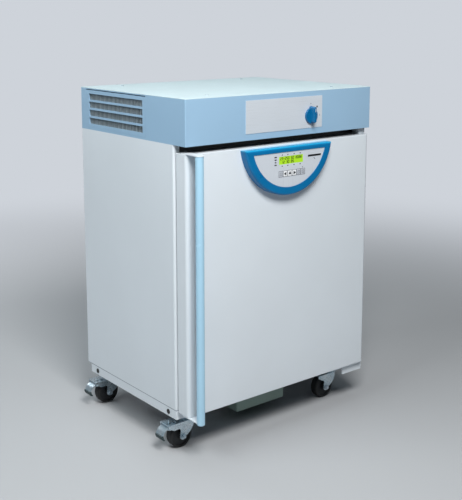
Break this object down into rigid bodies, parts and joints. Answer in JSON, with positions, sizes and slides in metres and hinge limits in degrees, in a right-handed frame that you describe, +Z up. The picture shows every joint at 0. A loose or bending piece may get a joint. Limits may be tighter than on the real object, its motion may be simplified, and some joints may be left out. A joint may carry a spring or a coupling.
{
  "type": "climate chamber",
  "caption": "Upright climate chamber on swivel castors: hinged front door with a full-height tube handle and a D-shaped control panel, overhanging equipment housing with side grilles.",
  "frame": {"origin": "on the floor, under the middle of the cabinet's body", "axes": "+Z up, +Y to the back, +X to the right as seen from the front"},
  "size_m": [0.7983, 0.668, 1.094],
  "materials": {
    "white_paint": "satin",
    "blue_paint": "satin",
    "mint_paint": "satin",
    "handle_paint": "gloss",
    "galvanised": "matte",
    "galvanised_grey": "matte",
    "black_enamel": "gloss",
    "silver_plate": "satin",
    "stainless": "satin",
    "stainless_wire": "polished",
    "zinc_plated": "satin",
    "dark_mesh": "matte",
    "cast_motor": "matte",
    "fin_aluminium": "satin",
    "brass_fitting": "satin",
    "mineral_wool": "matte",
    "circuit_board": "matte",
    "black_plastic": "satin",
    "blue_plastic": "gloss",
    "panel_silver": "satin",
    "display_green": "gloss",
    "key_plastic": "satin",
    "black_rubber": "matte",
    "wheel_rubber": "satin"
  },
  "bodies": {
    "cabinet": {"plinth_frame": "white_paint", "compressor_tray": "galvanised_grey", "floor_pan": "galvanised", "side_panel_left": "white_paint", "side_panel_right": "white_paint", "back_panel": "galvanised", "hose_nozzles": "brass_fitting", "front_collar": "white_paint", "insulation_jacket": "mineral_wool", "chamber_liner": "stainless", "fan_baffle": "stainless", "fan_motor": "cast_motor", "heater_ring": "stainless", "evaporator_coil": "fin_aluminium", "shelf_racks": "stainless", "shelf_lower": "stainless_wire", "shelf_upper": "stainless_wire", "steam_generator": "stainless", "compressor": "black_enamel", "condenser": "fin_aluminium", "equipment_deck": "galvanised", "top_housing": "blue_paint", "top_plate": "mint_paint", "grille_left": "blue_paint", "grille_right": "blue_paint", "grille_screens": "dark_mesh", "fascia_panel": "silver_plate", "control_boards": "circuit_board", "mains_inlet": "black_plastic", "hinge_upper": "zinc_plated", "hinge_lower": "white_paint", "castor_plates": "zinc_plated"},
    "circulation_fan": {"fan_wheel": "fin_aluminium"},
    "selector": {"selector_knob": "blue_plastic"},
    "door": {"door_shell": "white_paint", "door_bushes": "black_plastic", "door_insulation": "mineral_wool", "door_liner": "stainless", "door_gasket": "black_rubber", "panel_bezel": "blue_plastic", "panel_face": "panel_silver", "display_window": "display_green", "handle_bar": "handle_paint", "handle_brackets": "white_paint"},
    "key_menu_cap": {"key_menu": "key_plastic"},
    "key_left_cap": {"key_left": "key_plastic"},
    "key_up_cap": {"key_up": "key_plastic"},
    "key_right_cap": {"key_right": "key_plastic"},
    "key_enter_cap": {"key_enter": "key_plastic"},
    "key_start_cap": {"key_start": "key_plastic"},
    "castor_front_left": {"fork_front_left": "zinc_plated"},
    "castor_wheel_front_left": {"wheel_front_left": "wheel_rubber"},
    "castor_brake_front_left": {"brake_front_left": "zinc_plated"},
    "castor_front_right": {"fork_front_right": "zinc_plated"},
    "castor_wheel_front_right": {"wheel_front_right": "wheel_rubber"},
    "castor_back_left": {"fork_back_left": "zinc_plated"},
    "castor_wheel_back_left": {"wheel_back_left": "wheel_rubber"},
    "castor_brake_back_left": {"brake_back_left": "zinc_plated"},
    "castor_back_right": {"fork_back_right": "zinc_plated"},
    "castor_wheel_back_right": {"wheel_back_right": "wheel_rubber"}
  },
  "joints": [
    {"name": "door_hinge", "type": "hinge", "parent": "cabinet", "child": "door", "pos_m": [0.362, -0.26, 0.5], "axis": [0, 0, 1], "range_deg": [0, 110]},
    {"name": "selector_turn", "type": "hinge", "parent": "cabinet", "child": "selector", "pos_m": [0.108, -0.296, 1.014], "axis": [0, 1, 0], "range_deg": [0, 90]},
    {"name": "fan_spin", "type": "hinge", "parent": "cabinet", "child": "circulation_fan", "pos_m": [0, 0.18, 0.615], "axis": [0, 1, 0], "continuous": true},
    {"name": "key_menu_press", "type": "slide", "parent": "door", "child": "key_menu_cap", "axis": [0, 1, 0], "range_m": [0, 0.0015], "stiffness_N_per_m": 400},
    {"name": "key_left_press", "type": "slide", "parent": "door", "child": "key_left_cap", "axis": [0, 1, 0], "range_m": [0, 0.0015], "stiffness_N_per_m": 400},
    {"name": "key_up_press", "type": "slide", "parent": "door", "child": "key_up_cap", "axis": [0, 1, 0], "range_m": [0, 0.0015], "stiffness_N_per_m": 400},
    {"name": "key_right_press", "type": "slide", "parent": "door", "child": "key_right_cap", "axis": [0, 1, 0], "range_m": [0, 0.0015], "stiffness_N_per_m": 400},
    {"name": "key_enter_press", "type": "slide", "parent": "door", "child": "key_enter_cap", "axis": [0, 1, 0], "range_m": [0, 0.0015], "stiffness_N_per_m": 400},
    {"name": "key_start_press", "type": "slide", "parent": "door", "child": "key_start_cap", "axis": [0, 1, 0], "range_m": [0, 0.0015], "stiffness_N_per_m": 400},
    {"name": "swivel_front_left", "type": "hinge", "parent": "cabinet", "child": "castor_front_left", "pos_m": [-0.308, -0.194, 0.095], "axis": [0, 0, 1], "continuous": true},
    {"name": "roll_front_left", "type": "hinge", "parent": "castor_front_left", "child": "castor_wheel_front_left", "pos_m": [-0.342, -0.194, 0.04], "axis": [0, 1, 0], "continuous": true},
    {"name": "brake_front_left_lift", "type": "hinge", "parent": "castor_front_left", "child": "castor_brake_front_left", "pos_m": [-0.39, -0.194, 0.0755], "axis": [0, 1, 0], "range_deg": [0, 14]},
    {"name": "swivel_front_right", "type": "hinge", "parent": "cabinet", "child": "castor_front_right", "pos_m": [0.308, -0.194, 0.095], "axis": [0, 0, 1], "continuous": true},
    {"name": "roll_front_right", "type": "hinge", "parent": "castor_front_right", "child": "castor_wheel_front_right", "pos_m": [0.274, -0.194, 0.04], "axis": [0, 1, 0], "continuous": true},
    {"name": "swivel_back_left", "type": "hinge", "parent": "cabinet", "child": "castor_back_left", "pos_m": [-0.308, 0.24, 0.095], "axis": [0, 0, 1], "continuous": true},
    {"name": "roll_back_left", "type": "hinge", "parent": "castor_back_left", "child": "castor_wheel_back_left", "pos_m": [-0.342, 0.24, 0.04], "axis": [0, 1, 0], "continuous": true},
    {"name": "brake_back_left_lift", "type": "hinge", "parent": "castor_back_left", "child": "castor_brake_back_left", "pos_m": [-0.39, 0.24, 0.0755], "axis": [0, 1, 0], "range_deg": [0, 14]},
    {"name": "swivel_back_right", "type": "hinge", "parent": "cabinet", "child": "castor_back_right", "pos_m": [0.308, 0.24, 0.095], "axis": [0, 0, 1], "continuous": true},
    {"name": "roll_back_right", "type": "hinge", "parent": "castor_back_right", "child": "castor_wheel_back_right", "pos_m": [0.274, 0.24, 0.04], "axis": [0, 1, 0], "continuous": true}
  ]
}
